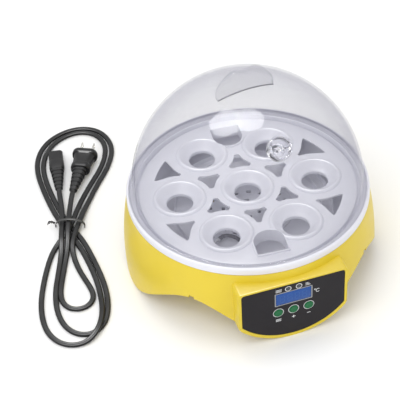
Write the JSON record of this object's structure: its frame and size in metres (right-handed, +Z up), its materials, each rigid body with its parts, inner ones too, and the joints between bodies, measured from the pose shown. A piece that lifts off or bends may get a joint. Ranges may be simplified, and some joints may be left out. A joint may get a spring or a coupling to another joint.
{
  "type": "egg incubator",
  "caption": "Tabletop egg incubator with a clear lift-off dome, vent knob, egg tray over a water bowl, fan heater, front control console and a detachable mains lead.",
  "frame": {"origin": "on the floor, on the base's vertical centre line", "axes": "+Z up; the console faces -Y, and the mains inlet faces +Y"},
  "size_m": [0.3512, 0.3765, 0.2244],
  "materials": {
    "yellow_plastic": "moulded ABS, low gloss",
    "white_plastic": "moulded polystyrene, low gloss",
    "clear_plastic": "clear moulded polystyrene, polished",
    "black_fascia": "printed polycarbonate sheet",
    "blue_window": "tinted display lens",
    "green_button": "moulded, glossy",
    "lamp_lens": "clear lamp lens",
    "dark_plastic": "moulded, matt",
    "blue_case": "moulded case",
    "cord_vinyl": "soft vinyl, satin",
    "tie_vinyl": "coated wire tie",
    "cable_jacket": "vinyl insulation",
    "bright_steel": "zinc plated",
    "plated_brass": "nickel-plated brass",
    "circuit_board": "solder-masked board",
    "mica_sheet": "mica sheet",
    "element_sheath": "oxidised steel sheath",
    "transformer_tape": "taped winding"
  },
  "bodies": {
    "base": {"lower_housing": "yellow_plastic", "bottom_cover": "yellow_plastic", "water_bowl": "white_plastic", "vent_plate": "white_plastic", "fascia_panel": "black_fascia", "display_window": "blue_window", "work_lamp": "lamp_lens", "set_lamp": "lamp_lens", "set_switch": "dark_plastic", "plus_switch": "dark_plastic", "minus_switch": "dark_plastic", "display_module": "dark_plastic", "buzzer": "dark_plastic", "fan_frame": "dark_plastic", "smoothing_capacitor": "dark_plastic", "mains_inlet": "dark_plastic", "heater_relay": "blue_case", "lead_hank": "cord_vinyl", "lead_tail_connector": "cord_vinyl", "lead_tail_plug": "cord_vinyl", "lead_connector": "cord_vinyl", "connector_relief": "cord_vinyl", "plug_body": "cord_vinyl", "plug_relief": "cord_vinyl", "twist_tie": "tie_vinyl", "control_cable": "cable_jacket", "mains_wires": "cable_jacket", "heater_wires": "cable_jacket", "sensor_lead": "cable_jacket", "cover_screw_1": "bright_steel", "cover_screw_2": "bright_steel", "cover_screw_3": "bright_steel", "cover_screw_4": "bright_steel", "bowl_screw_1": "bright_steel", "bowl_screw_2": "bright_steel", "bowl_screw_3": "bright_steel", "board_screw_1": "bright_steel", "board_screw_2": "bright_steel", "fan_screw_1": "bright_steel", "fan_screw_2": "bright_steel", "temperature_probe": "bright_steel", "thermal_fuse": "bright_steel", "plug_blade_left": "plated_brass", "plug_blade_right": "plated_brass", "inlet_pin_left": "plated_brass", "inlet_pin_right": "plated_brass", "control_board": "circuit_board", "power_board": "circuit_board", "heater_carrier": "mica_sheet", "heating_ring": "element_sheath", "transformer": "transformer_tape"},
    "dome": {"dome": "clear_plastic"},
    "vent_knob": {"vent_knob": "clear_plastic"},
    "tray": {"egg_tray": "white_plastic"},
    "set_button": {"set_button": "green_button"},
    "plus_button": {"plus_button": "green_button"},
    "minus_button": {"minus_button": "green_button"},
    "impeller": {"fan_impeller": "dark_plastic"}
  },
  "joints": [
    {"name": "dome_lift", "type": "slide", "parent": "base", "child": "dome", "axis": [0, 0, 1], "range_m": [0, 0.15]},
    {"name": "vent_turn", "type": "hinge", "parent": "dome", "child": "vent_knob", "pos_m": [0.00709, -0.06741, 0.17946], "axis": [0.0635, -0.604, 0.7944], "range_deg": [0, 90]},
    {"name": "tray_lift", "type": "slide", "parent": "base", "child": "tray", "axis": [0, 0, 1], "range_m": [0, 0.03]},
    {"name": "set_press", "type": "slide", "parent": "base", "child": "set_button", "axis": [0, 1, 0], "range_m": [0, 0.0007], "stiffness_N_per_m": 300},
    {"name": "plus_press", "type": "slide", "parent": "base", "child": "plus_button", "axis": [0, 1, 0], "range_m": [0, 0.0007], "stiffness_N_per_m": 300},
    {"name": "minus_press", "type": "slide", "parent": "base", "child": "minus_button", "axis": [0, 1, 0], "range_m": [0, 0.0007], "stiffness_N_per_m": 300},
    {"name": "fan_spin", "type": "hinge", "parent": "base", "child": "impeller", "pos_m": [0, 0, 0.0325], "axis": [0, 0, 1], "continuous": true}
  ]
}
